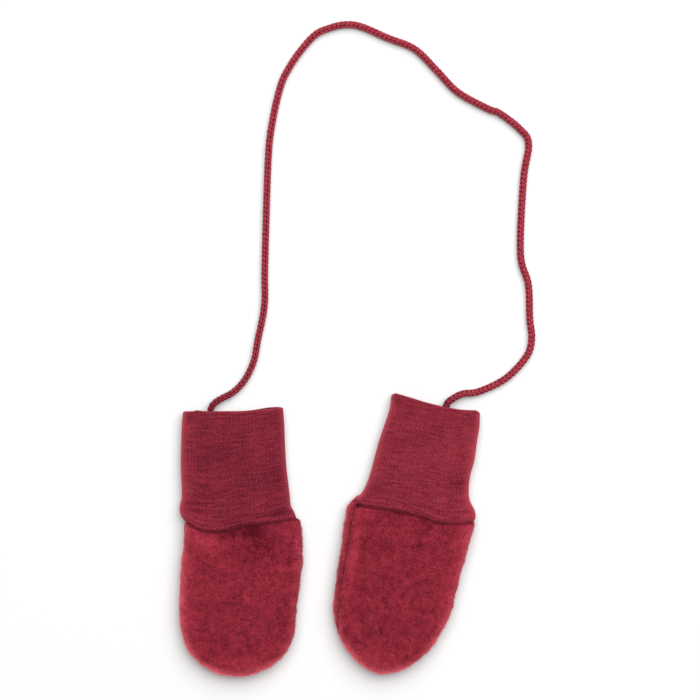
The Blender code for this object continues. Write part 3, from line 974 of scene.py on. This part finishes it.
def grow_nap(name, skin, hair, per_square_mm, seed, material):
    """The nap of one panel: hairs strewn over its outside, each leaning its own way."""
    nodes = bpy.data.node_groups.new(name + "_growth", "GeometryNodeTree")
    nodes.interface.new_socket("Geometry", in_out="INPUT", socket_type="NodeSocketGeometry")
    nodes.interface.new_socket("Geometry", in_out="OUTPUT", socket_type="NodeSocketGeometry")
    start = add_node(nodes, "NodeGroupInput")
    where = add_node(nodes, "GeometryNodeInputNamedAttribute", {"data_type": "FLOAT"}, {"Name": "nap"})
    density = add_node(
        nodes,
        "ShaderNodeMath",
        {"operation": "MULTIPLY"},
        {0: where.outputs["Attribute"], 1: per_square_mm / (MM * MM)},
    )
    spots = add_node(
        nodes,
        "GeometryNodeDistributePointsOnFaces",
        {},
        {"Mesh": start.outputs[0], "Density": density.outputs[0], "Seed": seed},
    )
    tone = add_node(
        nodes, "FunctionNodeRandomValue", {"data_type": "FLOAT"}, {2: 0.0, 3: 1.0, "Seed": seed + 4}
    )
    toned = add_node(
        nodes,
        "GeometryNodeStoreNamedAttribute",
        {"data_type": "FLOAT", "domain": "POINT"},
        {"Geometry": spots.outputs["Points"], "Name": "strand", "Value": tone.outputs[1]},
    )
    strewn = add_node(
        nodes,
        "FunctionNodeRandomValue",
        {"data_type": "FLOAT_VECTOR"},
        {"Min": (-1.0, -1.0, -1.0), "Max": (1.0, 1.0, 1.0), "Seed": seed + 1},
    )
    normal = spots.outputs["Normal"]
    across = add_node(
        nodes,
        "ShaderNodeVectorMath",
        {"operation": "PROJECT"},
        {0: strewn.outputs[0], 1: normal},
    )
    flat = add_node(
        nodes,
        "ShaderNodeVectorMath",
        {"operation": "SUBTRACT"},
        {0: strewn.outputs[0], 1: across.outputs[0]},
    )
    lifted = add_node(
        nodes,
        "ShaderNodeVectorMath",
        {"operation": "MULTIPLY_ADD"},
        {0: normal, 1: (HAIR_LIFT, HAIR_LIFT, HAIR_LIFT), 2: flat.outputs[0]},
    )
    turned = add_node(
        nodes,
        "FunctionNodeAlignRotationToVector",
        {"axis": "Z"},
        {"Vector": lifted.outputs[0]},
    )
    spin = add_node(
        nodes,
        "FunctionNodeRandomValue",
        {"data_type": "FLOAT_VECTOR"},
        {"Min": (0.0, 0.0, 0.0), "Max": (0.0, 0.0, 2.0 * math.pi), "Seed": seed + 2},
    )
    spun = add_node(
        nodes,
        "FunctionNodeRotateRotation",
        {"rotation_space": "LOCAL"},
        {"Rotation": turned.outputs[0], "Rotate By": spin.outputs[0]},
    )
    size = add_node(
        nodes,
        "FunctionNodeRandomValue",
        {"data_type": "FLOAT"},
        {2: HAIR_SIZES[0], 3: HAIR_SIZES[1], "Seed": seed + 3},
    )
    source = add_node(nodes, "GeometryNodeObjectInfo", {}, {"Object": hair})
    placed = add_node(
        nodes,
        "GeometryNodeInstanceOnPoints",
        {},
        {
            "Points": toned.outputs["Geometry"],
            "Instance": source.outputs["Geometry"],
            "Rotation": spun.outputs[0],
            "Scale": size.outputs[1],
        },
    )
    real = add_node(nodes, "GeometryNodeRealizeInstances", {}, {"Geometry": placed.outputs[0]})
    add_node(nodes, "NodeGroupOutput", {}, {0: real.outputs[0]})
    field = skin.copy()
    field.data = skin.data.copy()
    bpy.context.scene.collection.objects.link(field)
    grower = field.modifiers.new("nap", "NODES")
    grower.node_group = nodes
    evaluated = field.evaluated_get(bpy.context.evaluated_depsgraph_get())
    shape = bmesh.new()
    shape.from_mesh(evaluated.to_mesh())
    evaluated.to_mesh_clear()
    bpy.data.objects.remove(field)
    for vert in shape.verts:
        vert.co.z = max(vert.co.z, PAPER_GAP)
    return finished_piece(name, shape, material, smooth=False)


fleece_finish = bpy.data.materials.new("felted_fleece")
fleece_finish.use_nodes = True
tree = fleece_finish.node_tree
shader = tree.nodes["Principled BSDF"]
fleece_place = add_node(tree, "ShaderNodeTexCoord").outputs["Object"]


def fleece_noise(size_mm, detail):
    """Noise with features of about a size, fixed to the cloth."""
    return add_node(
        tree,
        "ShaderNodeTexNoise",
        {},
        {"Vector": fleece_place, "Scale": 1000.0 / size_mm, "Detail": detail, "Roughness": 0.6},
    ).outputs["Fac"]


fine = fleece_noise(1.2, 3.0)
patches = fleece_noise(4.0, 2.0)
broad = fleece_noise(9.0, 1.0)
strand = add_node(tree, "ShaderNodeAttribute", {"attribute_name": "strand"}).outputs["Fac"]
painted_rim_light = add_node(tree, "ShaderNodeAttribute", {"attribute_name": "painted_rim_light"}).outputs["Fac"]
shade = add_node(tree, "ShaderNodeAttribute", {"attribute_name": "shade"}).outputs["Fac"]
tone = maths("MULTIPLY_ADD", fine, 0.38, maths("MULTIPLY", patches, 0.27))
tone = maths("MULTIPLY_ADD", broad, 0.15, tone)
tone = maths("MULTIPLY_ADD", strand, 0.2, tone)
# The shade attribute adds the tables' painted shade, painted light and patches to the fleece's colour.
tone = maths("ADD", tone, shade)
fleece_colour = add_node(tree, "ShaderNodeValToRGB", {}, {"Fac": tone})
ramp = fleece_colour.color_ramp
ramp.elements[0].position = 0.32
ramp.elements[0].color = linear(91, 20, 34)
ramp.elements[1].position = 0.64
ramp.elements[1].color = linear(173, 57, 73)
# The colour of the painted rim light at the fleece's edges.
rim_light_colour = add_node(tree, "ShaderNodeValToRGB", {}, {"Fac": tone})
ramp = rim_light_colour.color_ramp
ramp.elements[0].position = 0.32
ramp.elements[0].color = linear(168, 60, 74)
ramp.elements[1].position = 0.64
ramp.elements[1].color = linear(236, 110, 124)
fleece_with_painted_rim_light = add_node(
    tree,
    "ShaderNodeMix",
    {"data_type": "RGBA", "clamp_factor": False},
    {"Factor": painted_rim_light, "A": fleece_colour.outputs["Color"], "B": rim_light_colour.outputs["Color"]},
)
fleece_bump = add_node(
    tree,
    "ShaderNodeBump",
    {},
    {"Strength": 0.5, "Distance": 0.2 * MM, "Height": fleece_noise(0.5, 3.0)},
)
tree.links.new(fleece_with_painted_rim_light.outputs["Result"], shader.inputs["Base Color"])
tree.links.new(fleece_bump.outputs["Normal"], shader.inputs["Normal"])
shader.inputs["Roughness"].default_value = 1.0
shader.inputs["Specular IOR Level"].default_value = 0.1
shader.inputs["Sheen Weight"].default_value = 0.6
shader.inputs["Sheen Roughness"].default_value = 0.3
shader.inputs["Sheen Tint"].default_value = linear(255, 130, 142)

LEFT_TABLES = (LEFT_AXES, LEFT_SEAM, LEFT_FLEECE_FOLDS, LEFT_FLEECE_SHADE_AND_TONE)
RIGHT_TABLES = (RIGHT_AXES, RIGHT_SEAM, RIGHT_FLEECE_FOLDS, RIGHT_FLEECE_SHADE_AND_TONE)
PANELS = (
    # piece, solid, the mitten's tables, upper, hairs to a square mm, seed
    ("left_upper_fleece", "left_upper_panel", LEFT_TABLES, True, 2.5, 11),
    ("left_lower_fleece", "left_lower_panel", LEFT_TABLES, False, 2.0, 21),
    ("right_upper_fleece", "right_upper_panel", RIGHT_TABLES, True, 2.5, 31),
    ("right_lower_fleece", "right_lower_panel", RIGHT_TABLES, False, 2.0, 41),
)
hair = matted_hair()
for name, node, tables, upper, density, seed in PANELS:
    panel = fleece_panel(name, node, *tables, upper, fleece_finish)
    nap = grow_nap(name + "_nap", panel, hair, density, seed, fleece_finish)
    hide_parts(node)
